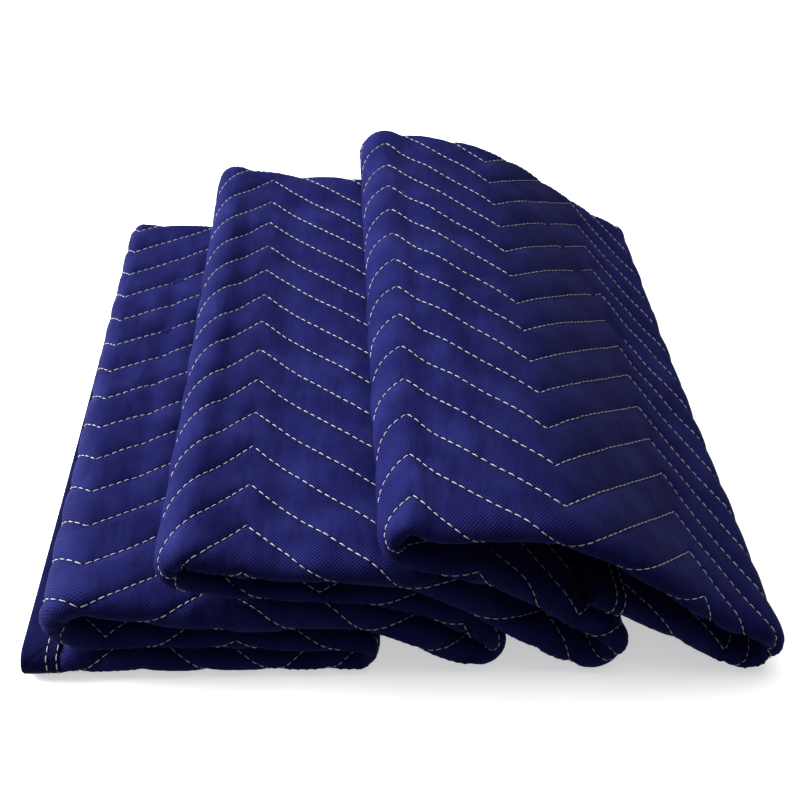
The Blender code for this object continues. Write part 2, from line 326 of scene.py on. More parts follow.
# %% Relief of the cloth
GROOVE_DEPTH = 0.0012
GROOVE_WIDTH = 0.0040
CHANNEL_CROWN = 0.0009
BEND_PLACE = 13.1  # place along where the right lobe turns under, and the channels stand out most
BEND_REACH = 0.5
BEND_EXTRA = 0.7  # share by which the crown grows there
WAVE_DEPTH = 0.0012
WAVES = 9
WAVE_LENGTHS = (0.05, 0.16)
GATHER_DEPTHS = (0.0014, 0.0030)  # at the pleats on the right, and on the left
GATHERS_A_PLEAT = 4.3
GATHER_SWAY = 0.35  # how unevenly the gathers are spaced
GATHER_SPREAD = 0.35  # how far they run out past their pleat, in pleats
GATHER_REACH = 0.055  # cloth from the middle of the rim over which they fade
GATHER_EDGE = 0.006  # cloth over which they start at the middle of the rim

# Soft troughs that run from one place to another: (place along, place across) of both ends, width and
# depth. A negative depth is a ridge, where the wadding stands full beside a fold.
TROUGHS = [
    {"from": (12.11, -0.010), "to": (12.11, 0.64), "width": 0.020, "depth": -0.0048},
    {"from": (8.13, -0.010), "to": (8.13, 0.64), "width": 0.018, "depth": -0.0024},
    {"from": (4.10, 0.12), "to": (4.16, 0.56), "width": 0.007, "depth": 0.0022},
    {"from": (4.22, 0.20), "to": (4.27, 0.58), "width": 0.006, "depth": 0.0016},
    {"from": (8.02, 0.08), "to": (8.05, 0.52), "width": 0.008, "depth": 0.0016},
    {"from": (10.50, -0.010), "to": (10.72, -0.080), "width": 0.006, "depth": 0.0040},
    {"from": (6.70, -0.030), "to": (6.95, 0.010), "width": 0.006, "depth": 0.0030},
    {"from": (12.90, 0.30), "to": (12.55, 0.56), "width": 0.010, "depth": 0.0022},
]


def troughs(run, across):
    """Depth of the troughs at places of the sheet: a bell across each line, fading at its ends."""
    depth = 0.0 * (run + across)
    for trough in TROUGHS:
        start, end = (
            np.array([np.interp(trough[key][0] * FINE_STEPS, STATIONS, RUN), trough[key][1]])
            for key in ("from", "to")
        )
        length = np.hypot(*(end - start))
        way = (end - start) / length
        along = (run - start[0]) * way[0] + (across - start[1]) * way[1]
        off = (run - start[0]) * way[1] - (across - start[1]) * way[0]
        ends = np.clip(along / length, 0, 1) * np.clip(1 - along / length, 0, 1) * 4
        depth = depth + trough["depth"] * np.exp(-((off / trough["width"]) ** 2)) * np.sqrt(ends)
    return depth


def gathers(station, across):
    """Folds in the inner corner of each pleat that fan out over its rim: a cubed wave round the turn."""
    place = station / FINE_STEPS
    number = np.clip(np.floor((place - 1) / 2).astype(int), 0, PLEATS - 1)
    share = place - 1 - 2 * number
    turn = np.array([rod["turn"] for rod in RODS[1:-1]])[number]
    inner = 1 / (1 + np.exp(-turn * across / GATHER_EDGE))
    round_turn = np.sin(np.pi * np.clip((share + GATHER_SPREAD) / (1 + 2 * GATHER_SPREAD), 0, 1)) ** 2
    sway = GATHER_SWAY * np.sin(9.0 * share + 2.0 * number)
    folds = np.sin(np.pi * (GATHERS_A_PLEAT * share + sway)) ** 2
    near_rim = np.exp(-((across / GATHER_REACH) ** 2))
    depth = np.where(turn > 0, *GATHER_DEPTHS)
    return depth * (1 - folds) ** 3 * inner * round_turn * near_rim


def slow_waves(seed):
    """A function of the cloth's own lengths: plane sine waves of drawn lengths and directions, added up."""
    draws = np.random.default_rng(seed)
    lengths = draws.uniform(*WAVE_LENGTHS, WAVES)
    angles = draws.uniform(0, np.pi, WAVES)
    phases = draws.uniform(0, 6.28, WAVES)

    def field(u, v):
        total = sum(
            np.sin(2 * np.pi * (u * np.cos(a) + v * np.sin(a)) / length + phase)
            for length, a, phase in zip(lengths, angles, phases)
        )
        return WAVE_DEPTH * (0.5 + 0.5 * np.clip(total / 3.0, -1, 1))

    return field


SLOW_WAVES = slow_waves(11)


def relief(station, across):
    """How far the outer face stands out from the frame's surface: below zero but for the two ridges.

    It is minus the sum of a bell along each row, a crown that is deepest on the row, and the soft shapes."""
    station, across = np.broadcast_arrays(station, across)
    run = np.interp(station, STATIONS, RUN)
    place = channel(station, across)
    off_row = np.abs(place - np.round(place)) * ROW_PITCH * ARM_COSINE
    groove = GROOVE_DEPTH * np.exp(-((off_row / GROOVE_WIDTH) ** 2))
    near_bend = np.exp(-(((station / FINE_STEPS - BEND_PLACE) / BEND_REACH) ** 2))
    stretched = 1.0 + BEND_EXTRA * near_bend
    crown = CHANNEL_CROWN * stretched * (1.0 - np.abs(np.sin(np.pi * place)) ** 0.8)
    return -(groove + crown + troughs(run, across) + gathers(station, across) + SLOW_WAVES(run, across))


RELIEF_SAMPLE = relief(STATIONS[:, None], np.linspace(0.0, PANEL, 200)) * 1000
print("relief of the upper panel:", round(RELIEF_SAMPLE.min(), 1), "to", round(RELIEF_SAMPLE.max(), 1), "mm")

# %% [markdown]
# ## Making a closed sheet of cloth
# The sheet's outer face is a grid whose lines follow the zigzag, so that the grooves stay crisp with few
# faces. The inner face is hidden in the fold and needs only a coarse grid. The two are joined along the
# long edges and closed at the ends, which makes one closed piece. Each face corner gets two UV maps:
# "cloth" holds lengths along and across the sheet, and "rows" holds the length along a row and the
# distance from it.

# %% Helpers for meshes
def add_mesh(name, points, faces, uvs=None):
    """A smooth object at the origin from points and faces; uvs maps a name to (u, v) for each point."""
    mesh = bpy.data.meshes.new(name)
    mesh.from_pydata(points.reshape(-1, 3).tolist(), [], faces)
    corners = np.empty(len(mesh.loops), dtype=np.int32)
    mesh.loops.foreach_get("vertex_index", corners)
    for uv_name, values in (uvs or {}).items():
        layer = mesh.uv_layers.new(name=uv_name)
        layer.data.foreach_set("uv", values.reshape(-1, 2)[corners].astype(np.float32).ravel())
    mesh.polygons.foreach_set("use_smooth", [True] * len(mesh.polygons))
    mesh.update()
    obj = bpy.data.objects.new(name, mesh)
    bpy.context.scene.collection.objects.link(obj)
    return obj


def triangles(obj):
    """How many triangles an object's mesh has."""
    return sum(len(face.vertices) - 2 for face in obj.data.polygons)


def loop_faces(count, around):
    """Quads of a tube of count loops with around points each: point j of loop i is number i * around + j."""
    i, j = np.meshgrid(np.arange(count - 1), np.arange(around), indexing="ij")
    k = (j + 1) % around
    here, there = i * around, (i + 1) * around
    quads = np.stack([here + j, there + j, there + k, here + k], axis=-1)
    return quads.reshape(-1, 4).tolist()


def cap_faces(outer, inner):
    """Faces that close an end, each of one step of the inner edge and the outer edge's steps beside it."""
    count = len(outer)
    at = [int(np.argmin(np.abs(outer - place))) for place in inner]
    at[0], at[-1] = 0, count - 1
    last = count + len(inner) - 1
    return [
        [*range(at[j], at[j + 1] + 1), last - j - 1, last - j]
        for j in range(len(inner) - 1)
    ]


def cloth_uvs(station, across):
    """The two UV maps' values: (run, across), and (length along the row, distance from the first row)."""
    station, across = np.broadcast_arrays(station, across)
    run = np.interp(station, STATIONS, RUN)
    along_row = np.interp(run, APEX_RUN, ROW_RUN)
    rows = np.stack([along_row, channel(station, across) * ROW_PITCH], axis=-1)
    return {"cloth": np.stack([run, across], axis=-1), "rows": rows}


# %% [markdown]
# ## Where the grid lines go
# An even grid fine enough for the grooves would need millions of faces. Here each channel of the quilting
# has a handful of long lines, close together at its row, and the cross lines meet every apex of the
# zigzag. Where the cloth bends round the rim and the back fold the lines stand closer, and where it is
# covered they stand apart.

# %% Where the grid lines go
BEND_COLUMNS = (0.0, 0.055, 0.12, 0.19, 0.27, 0.35, 0.43, 0.51, 0.59, 0.67, 0.75, 0.82, 0.89, 0.95)
FINE_COLUMNS = (0.0, 0.055, 0.15, 0.32, 0.50, 0.68, 0.85, 0.945)
PLAIN_COLUMNS = (0.0, 0.12, 0.35, 0.65, 0.88)
COVERED_COLUMNS = (0.0, 0.5)
BANDS = [  # from, to and the lines' shares of a channel: close together where lines run over a bend
    (LOWER_EDGE + 0.006, -0.20, COVERED_COLUMNS),
    (-0.20, -0.045, PLAIN_COLUMNS),
    (-0.045, 0.125, BEND_COLUMNS),
    (0.125, 0.590, FINE_COLUMNS),
    (0.590, 0.735, BEND_COLUMNS),
]
LAYER_STEP = (0.0062, 0.0085)  # metres between cross lines, in odd layers and in even ones
PLEAT_LINES = 15
TUCKED_COLUMNS = 8
FACE_COLUMNS = 36  # long lines of the inner face
EDGE_FADE = 0.26  # the grid straightens out over this much cloth before a long edge


def grid_stations():
    """Stations of the grid's cross lines: even in each layer and pleat, with one on every apex."""
    picked = []
    for i in range(len(LAYERS)):
        start = 2 * i * FINE_STEPS
        length = MIDDLE_RUN[start + FINE_STEPS] - MIDDLE_RUN[start]
        lines = max(8, int(round(length / LAYER_STEP[i % 2])))
        picked.append(start + FINE_STEPS * np.arange(lines) / lines)
        if i < PLEATS:
            picked.append(start + FINE_STEPS + FINE_STEPS * np.arange(PLEAT_LINES) / PLEAT_LINES)
    lines = np.sort(np.concatenate([*picked, [LAST_STATION]]))
    for apex in APEX_STATIONS[1:-1]:
        lines[np.argmin(np.abs(lines - apex))] = apex
    return lines


def grid_columns():
    """Places across of the grid's long lines: the shares of each channel that its band has."""
    rows = np.arange(-15, 18)[:, None]
    picked = []
    for low, high, shares in BANDS:
        places = (rows + np.array(shares)).ravel() * ROW_PITCH + FIRST_ROW
        picked.append(places[(places > low) & (places <= high)])
    tucked = np.linspace(BANDS[-1][1] + 0.02, TUCKED_EDGE, TUCKED_COLUMNS)
    return np.concatenate([[LOWER_EDGE], *picked, tucked])


def follow_rows(station, column):
    """Places across of grid lines that follow the zigzag, and straighten out towards the long edges."""
    from_edge = np.minimum(column - LOWER_EDGE, TUCKED_EDGE - column) / EDGE_FADE
    share = np.clip(from_edge, 0.0, 1.0)
    return column + zigzag(station) * share * share * (3.0 - 2.0 * share)


GRID_STATIONS = grid_stations()
GRID_COLUMNS = grid_columns()
INNER_COLUMNS = np.linspace(LOWER_EDGE, TUCKED_EDGE, FACE_COLUMNS)
print("grid:", len(GRID_STATIONS), "cross lines by", len(GRID_COLUMNS), "long lines")

# %% [markdown]
# ## The quilted sheet
# The grid's points go through the letter fold and on to the pad's line, each moved by the relief at its
# place. At both ends the sheet is thinner, because the binding is folded round it there and takes the
# place of its faces.

# %% The quilted sheet
def station_at(distance):
    """The station that lies this far along the pad's middle line; negative counts from the far end."""
    from_start = distance if distance >= 0 else MIDDLE_RUN[-1] + distance
    return float(np.interp(from_start, MIDDLE_RUN, STATIONS))


TONGUE_IN = BINDING_CLOTH + CLEARANCE  # how far the quilt's end stands in under its binding
BINDING_EDGES = (station_at(BINDING_WIDTH), station_at(-BINDING_WIDTH))


def sheet_stations():
    """The grid's cross lines between the tongues' tips, with a sharp step at the edge of each binding."""
    low, high = station_at(BINDING_WIDTH + CLEARANCE), station_at(-BINDING_WIDTH - CLEARANCE)
    tip_low, tip_high = station_at(TONGUE_IN), station_at(-TONGUE_IN)
    body = GRID_STATIONS[(GRID_STATIONS > low + 1.0) & (GRID_STATIONS < high - 1.0)]
    stations = np.concatenate([[tip_low, low, low], body, [high, high, tip_high]])
    thinner = np.zeros(len(stations))
    thinner[:2] = thinner[-2:] = TONGUE_IN
    return stations[:, None], thinner[:, None]


def make_sheet():
    """The whole sheet as one closed mesh: a loop of outer and inner points at each station, and two caps."""
    station, thinner = sheet_stations()
    across = follow_rows(station, GRID_COLUMNS)
    outer = sheet_points(station, across, 1, np.where(thinner > 0, -thinner, relief(station, across)))
    inner_across = np.broadcast_to(INNER_COLUMNS[::-1], (len(station), len(INNER_COLUMNS)))
    inner = sheet_points(station, inner_across, -1, thinner)
    points = np.concatenate([outer, inner], axis=1)
    outer_uvs, inner_uvs = cloth_uvs(station, across), cloth_uvs(station, inner_across)
    uvs = {name: np.concatenate([outer_uvs[name], inner_uvs[name]], axis=1) for name in outer_uvs}
    count, around = points.shape[:2]
    faces = loop_faces(count, around)
    start_cap = cap_faces(across[0], INNER_COLUMNS)
    end_cap = cap_faces(across[-1], INNER_COLUMNS)
    faces += start_cap
    faces += [[(count - 1) * around + corner for corner in reversed(cap)] for cap in end_cap]
    return add_mesh("zigzag_quilt", points, faces, uvs)


sheet = make_sheet()
print("quilted sheet:", triangles(sheet), "triangles")

# %% [markdown]
# ## The end bindings
# A strip of thin cloth is folded round each end of the quilt and sewn down with two rows of stitches, so
# its section is a U. The section is carried across the whole width, through the letter fold, by the same
# function that placed the quilt, so the strip hugs it at every bend.

# %% Bindings
BINDING_ROWS = (0.0185, 0.0260)  # distance of the two stitch rows from the end
ROW_DIP = 0.0005
ROW_DIP_WIDTH = 0.0022
RIPPLE = 0.00025
END_ROUND = 0.0007  # how far the strip draws in where it turns round the end
BINDING_STEP = 0.006
OUTSIDE_PLACES = (BINDING_WIDTH, 0.026, 0.0235, 0.021, 0.0185, 0.016, 0.012, 0.007, 0.003, 0.0008, 0.0)
INSIDE_PLACES = (BINDING_WIDTH, 0.019, 0.010, BINDING_CLOTH)


def binding_relief(distance, across):
    """A bell-shaped dip along each stitch row, and a sine ripple that grows away from the end."""
    dips = sum(ROW_DIP * np.exp(-(((distance - row) / ROW_DIP_WIDTH) ** 2)) for row in BINDING_ROWS)
    uneven = np.sin(across / 0.0035 + 2.0 * np.sin(across / 0.021))
    ripple = RIPPLE * uneven * np.clip(distance / BINDING_WIDTH, 0, 1)
    return -dips + ripple


def make_binding(name, side):
    """A closed strip whose loop runs along the outer face to the end, back along the inner one, and inside.

    Face is 1 for places on the outer face and -1 on the inner face; side is 1 at the lower end, else -1."""
    distance = np.array(OUTSIDE_PLACES)
    inside = np.array(INSIDE_PLACES)
    run = np.concatenate([distance, distance[::-1][1:], inside, inside[::-1]])
    sides = (len(distance), len(distance) - 1 + len(inside), len(inside))
    face = np.repeat([1.0, -1.0, 1.0], sides)
    inward = np.repeat([0.0, BINDING_CLOTH], (2 * len(distance) - 1, 2 * len(inside)))
    station = np.array([station_at(side * value if value else 0.0) for value in run])
    if side < 0:
        station[run == 0.0] = LAST_STATION
    across = np.append(np.arange(LOWER_EDGE, TUCKED_EDGE, BINDING_STEP), TUCKED_EDGE)[:, None]
    rounded = np.where(run < OUTSIDE_PLACES[-2], END_ROUND, 0.0)
    lift = np.where(inward > 0, 0.0, binding_relief(run, across) - rounded)
    points = sheet_points(station, across, face, face * (lift - inward))
    uvs = cloth_uvs(station, across)
    count, around = points.shape[:2]
    caps = cap_faces(
        np.concatenate([distance, -distance[::-1][1:]]), np.concatenate([inside, -inside[::-1]])
    )
    faces = loop_faces(count, around) + caps
    faces += [[(count - 1) * around + corner for corner in reversed(cap)] for cap in caps]
    if side < 0:
        faces = [face[::-1] for face in faces]
    return add_mesh(name, points, faces, uvs)


lower_binding = make_binding("lower_binding_strip", 1)
inner_binding = make_binding("inner_binding_strip", -1)
print("bindings:", triangles(lower_binding), "and", triangles(inner_binding), "triangles")

# %% [markdown]
# ## The stitches
# Each stitch is a short piece of thick pale thread that dives into the cloth at both ends. Stitches drawn
# in the material would lie flat and vanish at the outline, so each is a small mesh. All of them have the
# same few faces: three rings of five points and a tip at each end, laid along five places on the cloth.

# %% Stitches
STITCH_PITCH = 0.0074
STITCH_LENGTH = 0.0062
THREAD_RADIUS = 0.00042
STITCH_WAYS = np.array([0.0, 0.16, 0.5, 0.84, 1.0])  # places along a stitch: tip, three rings, tip
STITCH_LIFTS = np.array([-0.0002, 0.0003, 0.0005, 0.0003, -0.0002])
RING_SIZES = np.array([0.75, 1.0, 0.75])
RING = 5  # points round the thread


def thread_mesh(name, station, across, lift, jitter):
    """Stitches from the stations and places across of their five points, one row of the arrays for each.

    A ring's point is its centre + radius * (cosine * binormal + sine * normal). The UV map holds the share
    along the stitch, and the share of the turn round it plus a number that differs from stitch to stitch."""
    points = sheet_points(station, across, 1, lift + STITCH_LIFTS)
    aside = sheet_points(station, across + 0.0005, 1, lift + STITCH_LIFTS)
    ahead = sheet_points(station + 0.2, across, 1, lift + STITCH_LIFTS)
    normal = np.cross(ahead - points, aside - points)[:, 1:4]
    normal /= np.linalg.norm(normal, axis=-1, keepdims=True)
    way = points[:, 2:] - points[:, :-2]
    way /= np.linalg.norm(way, axis=-1, keepdims=True)
    binormal = np.cross(way, normal)
    binormal /= np.linalg.norm(binormal, axis=-1, keepdims=True)
    normal = np.cross(binormal, way)
    angle = 2 * np.pi * np.arange(RING) / RING
    size = THREAD_RADIUS * RING_SIZES[None, :, None, None] * jitter[:, None, None, None]
    cosine, sine = np.cos(angle)[:, None], np.sin(angle)[:, None]
    circle = cosine * binormal[:, :, None, :] + sine * normal[:, :, None, :]
    rings = points[:, 1:4, None, :] + size * circle
    count = len(points)
    body = np.concatenate([points[:, :1], rings.reshape(count, 3 * RING, 3), points[:, 4:]], axis=1)
    ring = np.arange(RING)
    following = np.roll(ring, -1)
    tip = 3 * RING + 1
    tris = np.concatenate([
        np.stack([0 * ring, 1 + ring, 1 + following], axis=1),
        np.stack([tip + 0 * ring, 1 + 2 * RING + following, 1 + 2 * RING + ring], axis=1),
    ])
    quads = np.concatenate([
        np.stack([first + ring, first + RING + ring, first + RING + following, first + following], axis=1)
        for first in (1, 1 + RING)
    ])
    offsets = (tip + 1) * np.arange(count)[:, None, None]
    faces = (tris + offsets).reshape(-1, 3).tolist() + (quads + offsets).reshape(-1, 4).tolist()
    own = station[:, :1]
    along = np.concatenate([[0.0], np.repeat(STITCH_WAYS[1:4], RING), [1.0]])
    turn = np.concatenate([[0.0], np.tile(ring / RING, 3), [0.0]])
    uv_points = np.stack([np.broadcast_to(along, (count, len(along))), turn + own], axis=-1)
    return add_mesh(name, body, faces, {"cloth": uv_points})


def row_stitches(lowest, highest):
    """Stations and places across of the zigzag stitches whose middle lies between two places across."""
    starts = np.arange(0.0, ROW_RUN[-1], STITCH_PITCH)
    rows = np.arange(-17, 18)
    draws = np.random.default_rng(23)
    first = starts[None, :] + draws.uniform(0, STITCH_PITCH, (len(rows), 1))
    first = first + draws.normal(0, 0.00025, (len(rows), len(starts)))
    along_row = first[:, :, None] + STITCH_LENGTH * STITCH_WAYS
    run = np.interp(along_row, ROW_RUN, APEX_RUN)
    station = np.interp(run, RUN, STATIONS)
    across = zigzag(station) + FIRST_ROW + ROW_PITCH * rows[:, None, None]
    across = across + draws.normal(0, 0.00018, (len(rows), len(starts), 1))
    inside = (across[:, :, 2] > lowest) & (across[:, :, 2] <= highest)
    inside &= station.min(axis=-1) > BINDING_EDGES[0] + 0.5
    inside &= station.max(axis=-1) < BINDING_EDGES[1] - 0.5
    return station[inside], across[inside]


def quilting_thread(name, lowest, highest, seed):
    """The zigzag stitches between two places across the sheet, as one piece."""
    station, across = row_stitches(lowest, highest)
    jitter = np.random.default_rng(seed).uniform(0.88, 1.12, len(station))
    return thread_mesh(name, station, across, relief(station, across), jitter)


def binding_thread(name, side, seed):
    """Two straight rows of stitches on the outer face of a binding."""
    draws = np.random.default_rng(seed)
    starts = np.arange(LOWER_EDGE + 0.004, RIM / 2 + PANEL, STITCH_PITCH)
    across = starts[:, None] + STITCH_LENGTH * STITCH_WAYS + draws.uniform(0, STITCH_PITCH, (2, 1, 1))
    distance = np.array(BINDING_ROWS)[:, None, None] + draws.normal(0, 0.00015, (2, len(starts), 1))
    distance = np.broadcast_to(distance, across.shape)
    middle = distance if side > 0 else MIDDLE_RUN[-1] - distance
    station = np.interp(middle, MIDDLE_RUN, STATIONS)
    station, across = station.reshape(-1, 5), across.reshape(-1, 5)
    return thread_mesh(name, station, across, -ROW_DIP, draws.uniform(0.9, 1.1, len(station)))


SPLIT = RIM / 2  # the zigzag stitches are two pieces that meet here
upper_thread = quilting_thread("upper_quilting_thread", SPLIT, RIM / 2 + PANEL + BACK_FOLD, 31)
lower_thread = quilting_thread("lower_quilting_thread", LOWER_EDGE + 0.004, SPLIT, 32)
lower_binding_thread = binding_thread("lower_binding_thread", 1, 33)
inner_binding_thread = binding_thread("inner_binding_thread", -1, 34)
threads = (upper_thread, lower_thread, lower_binding_thread, inner_binding_thread)
print("thread triangles:", [triangles(piece) for piece in threads])

# %% [markdown]
# ## Finishes
# The faces are a spunbonded cloth pressed with a fine waffle of dots. It is matt, deep blue, and takes on
# a pale bloom where light grazes its fuzz. The waffle and the soft variation are used by the cloth and by
# the bindings, so each is a node group.

# %% Helpers for shader nodes
def new_group(name, inputs, outputs):
    """An empty shader group with the named sockets, its input node and its output node."""
    group = bpy.data.node_groups.new(name, "ShaderNodeTree")
    for socket, kind in inputs:
        group.interface.new_socket(name=socket, in_out="INPUT", socket_type=kind)
    for socket, kind in outputs:
        group.interface.new_socket(name=socket, in_out="OUTPUT", socket_type=kind)
    return group, group.nodes.new("NodeGroupInput"), group.nodes.new("NodeGroupOutput")


def calc(tree, operation, *values, clamp=False):
    """A Math node; each value is a number or a socket."""
    node = tree.nodes.new("ShaderNodeMath")
    node.operation = operation
    node.use_clamp = clamp
    for k, value in enumerate(values):
        if isinstance(value, (int, float)):
            node.inputs[k].default_value = value
        else:
            tree.links.new(value, node.inputs[k])
    return node.outputs[0]


def noise(tree, vector, scale, detail=2.0, roughness=0.5):
    """A Noise texture's value on a vector socket."""
    node = tree.nodes.new("ShaderNodeTexNoise")
    node.inputs["Scale"].default_value = scale
    node.inputs["Detail"].default_value = detail
    node.inputs["Roughness"].default_value = roughness
    tree.links.new(vector, node.inputs["Vector"])
    return node.outputs["Fac"]


def blend_colors(tree, factor, first, second):
    """A Mix node between two colours."""
    node = tree.nodes.new("ShaderNodeMix")
    node.data_type = "RGBA"
    tree.links.new(factor, node.inputs[0])
    for socket, value in ((node.inputs[6], first), (node.inputs[7], second)):
        if isinstance(value, tuple):
            socket.default_value = value
        else:
            tree.links.new(value, socket)
    return node.outputs[2]


# %% The waffle of dots
def waffle_group():
    """Pressed dots: the product of two cosines, one along the cloth and one across it, from -1 to 1."""
    group, given, made = new_group(
        "Waffle",
        [
            ("Cloth", "NodeSocketVector"),
            ("Pitch Along", "NodeSocketFloat"),
            ("Pitch Across", "NodeSocketFloat"),
        ],
        [("Dots", "NodeSocketFloat")],
    )
    parts = group.nodes.new("ShaderNodeSeparateXYZ")
    group.links.new(given.outputs["Cloth"], parts.inputs[0])
    waves_made = []
    for axis, pitch in (("X", "Pitch Along"), ("Y", "Pitch Across")):
        turns = calc(group, "DIVIDE", parts.outputs[axis], given.outputs[pitch])
        waves_made.append(calc(group, "COSINE", calc(group, "MULTIPLY", turns, 2 * np.pi)))
    group.links.new(calc(group, "MULTIPLY", *waves_made), made.inputs["Dots"])
    return group


WAFFLE = waffle_group()
print("node group:", WAFFLE.name)

# %% [markdown]
# ## Soft variation and fibres
# A pressed felt of fibres is never one even colour. A slow noise gives cloudy blotches, a very fine one
# the fibres, and one that is stretched along the cloth the crumples left by folding.

# %% Soft variation and fibres
BLOTCH_SCALE = 22.0
FIBRE_SCALE = 900.0
CRUMPLE_SCALES = (42.0, 17.0, 0.0)  # along the cloth and across it


def variation_group():
    """Slow blotches and fine fibres of a spunbonded cloth, each from 0 to 1."""
    group, given, made = new_group(
        "Fibres",
        [("Cloth", "NodeSocketVector")],
        [("Blotches", "NodeSocketFloat"), ("Fibres", "NodeSocketFloat"), ("Crumples", "NodeSocketFloat")],
    )
    group.links.new(noise(group, given.outputs["Cloth"], BLOTCH_SCALE, 3.0), made.inputs["Blotches"])
    group.links.new(noise(group, given.outputs["Cloth"], FIBRE_SCALE, 2.0, 0.6), made.inputs["Fibres"])
    drawn_out = group.nodes.new("ShaderNodeVectorMath")
    drawn_out.operation = "MULTIPLY"
    drawn_out.inputs[1].default_value = CRUMPLE_SCALES
    group.links.new(given.outputs["Cloth"], drawn_out.inputs[0])
    group.links.new(noise(group, drawn_out.outputs[0], 1.0, 2.0, 0.45), made.inputs["Crumples"])
    return group


FIBRES = variation_group()
print("node group:", FIBRES.name)

# %% [markdown]
# ## Puckers along the rows
# A tight thread gathers the cloth beside it into many little folds that cross the row. They are too fine
# for the grid, so they are a noise stretched across the row, read from the UV map that follows the rows.

# %% Puckers along the rows
NEAR_FALL = 3.2  # how fast the gathers weaken away from a row, in channels
GROOVE_FALL = 11.0
PUCKER_SCALES = (150.0, 26.0)  # along the row and across it


def pucker_group():
    """Small gathers that cross each stitch row: noise drawn out across the row, strongest near it.

    Off is the share of a channel from the nearest row; near and groove are 1 less a multiple of it."""
    group, given, made = new_group(
        "Puckers",
        [("Rows", "NodeSocketVector"), ("Pitch", "NodeSocketFloat")],
        [("Gathers", "NodeSocketFloat"), ("Near Row", "NodeSocketFloat"), ("Groove", "NodeSocketFloat")],
    )
    parts = group.nodes.new("ShaderNodeSeparateXYZ")
    group.links.new(given.outputs["Rows"], parts.inputs[0])
    place = calc(group, "DIVIDE", parts.outputs["Y"], given.outputs["Pitch"])
    past_row = calc(group, "FRACT", calc(group, "ADD", place, 0.5))
    off = calc(group, "ABSOLUTE", calc(group, "SUBTRACT", past_row, 0.5))
    near = calc(group, "SUBTRACT", 1.0, calc(group, "MULTIPLY", off, NEAR_FALL), clamp=True)
    narrow = calc(group, "SUBTRACT", 1.0, calc(group, "MULTIPLY", off, GROOVE_FALL), clamp=True)
    groove = calc(group, "POWER", narrow, 2.0)
    stretched = group.nodes.new("ShaderNodeCombineXYZ")
    group.links.new(calc(group, "MULTIPLY", parts.outputs["X"], PUCKER_SCALES[0]), stretched.inputs["X"])
    group.links.new(calc(group, "MULTIPLY", parts.outputs["Y"], PUCKER_SCALES[1]), stretched.inputs["Y"])
    group.links.new(noise(group, stretched.outputs[0], 1.0, 1.5), made.inputs["Gathers"])
    group.links.new(near, made.inputs["Near Row"])
    group.links.new(groove, made.inputs["Groove"])
    return group


PUCKERS = pucker_group()
print("node group:", PUCKERS.name)

# %% [markdown]
# ## The cloth's finish
# One function makes the finish of the quilt and of the bindings, which are the same kind of cloth in two
# shades. It is nearly all diffuse: painted shade darkens the pits of the waffle and the grooves along the
# rows, the blotches carry a pale bloom, and the same masks, as heights in metres, feed one bump.

# %% Cloth materials
NAVY = (0.0088, 0.0095, 0.075, 1.0)
# The darkest colour is painted shade, laid in the waffle's pits and along the rows' grooves.
PAINTED_SHADE_NAVY = (0.0016, 0.0018, 0.021, 1.0)
PALE_NAVY = (0.0165, 0.0185, 0.108, 1.0)
BINDING_NAVY = (0.0034, 0.0037, 0.036, 1.0)
SHEEN_TINT = (0.55, 0.60, 0.95, 1.0)
WAFFLE_PITCH = (0.0030, 0.0032)  # along the cloth and across it
BLOOM_FROM = 0.42  # blotch value at which the pale bloom starts
BLOOM_GAIN = 1.6
# how strongly painted shade darkens the grooves along the rows
PAINTED_GROOVE_SHADE = 0.6
ROUGHNESS = (0.68, 0.18)  # least value, and how much the fibres add
PITS = (0.6, 0.85)  # value midway between the dots, and how much a dot changes it
FIBRE_HEIGHT = 0.00012
GROOVE_SHARE = 1.2  # heights of the grooves and crumples, in heights of a pucker
CRUMPLE_SHARE = 7.0


def use_group(tree, group, links, numbers=()):
    """A group node with its inputs linked or set."""
    node = tree.nodes.new("ShaderNodeGroup")
    node.node_tree = group
    for name, socket in links:
        tree.links.new(socket, node.inputs[name])
    for name, value in numbers:
        node.inputs[name].default_value = value
    return node


def uv_socket(tree, name):
    """The vector of one of the piece's own UV maps."""
    node = tree.nodes.new("ShaderNodeUVMap")
    node.uv_map = name
    return node.outputs[0]


def cloth_color(tree, pits, fibres, puckers, base, dark, pale):
    """Base colour, with painted shade in the pits and along the rows, paler in the blotches."""
    # painted shade in the pits of the waffle
    pit_shaded = blend_colors(tree, pits, dark, base)
    above = calc(tree, "SUBTRACT", fibres.outputs["Blotches"], BLOOM_FROM, clamp=True)
    bloomed = blend_colors(tree, calc(tree, "MULTIPLY", above, BLOOM_GAIN), pit_shaded, pale)
    # painted shade along the grooves of the rows
    groove_shaded = calc(tree, "MULTIPLY", puckers.outputs["Groove"], PAINTED_GROOVE_SHADE)
    return blend_colors(tree, groove_shaded, bloomed, dark)


def cloth_height(tree, pits, fibres, puckers, waffle_height, pucker_height):
    """Metres of relief: pits, gathers, fibres and crumples added up, less the groove of each row."""
    near = calc(tree, "MULTIPLY_ADD", puckers.outputs["Near Row"], 0.75, 0.25)
    gathered = calc(tree, "MULTIPLY", puckers.outputs["Gathers"], near)
    pressed = calc(tree, "MULTIPLY", pits, waffle_height)
    puckered = calc(tree, "MULTIPLY", gathered, pucker_height)
    fuzz = calc(tree, "MULTIPLY", fibres.outputs["Fibres"], FIBRE_HEIGHT)
    height = calc(tree, "ADD", pressed, calc(tree, "ADD", puckered, fuzz))
    sewn = calc(tree, "MULTIPLY_ADD", puckers.outputs["Groove"], -GROOVE_SHARE * pucker_height, height)
    return calc(tree, "MULTIPLY_ADD", fibres.outputs["Crumples"], CRUMPLE_SHARE * pucker_height, sewn)


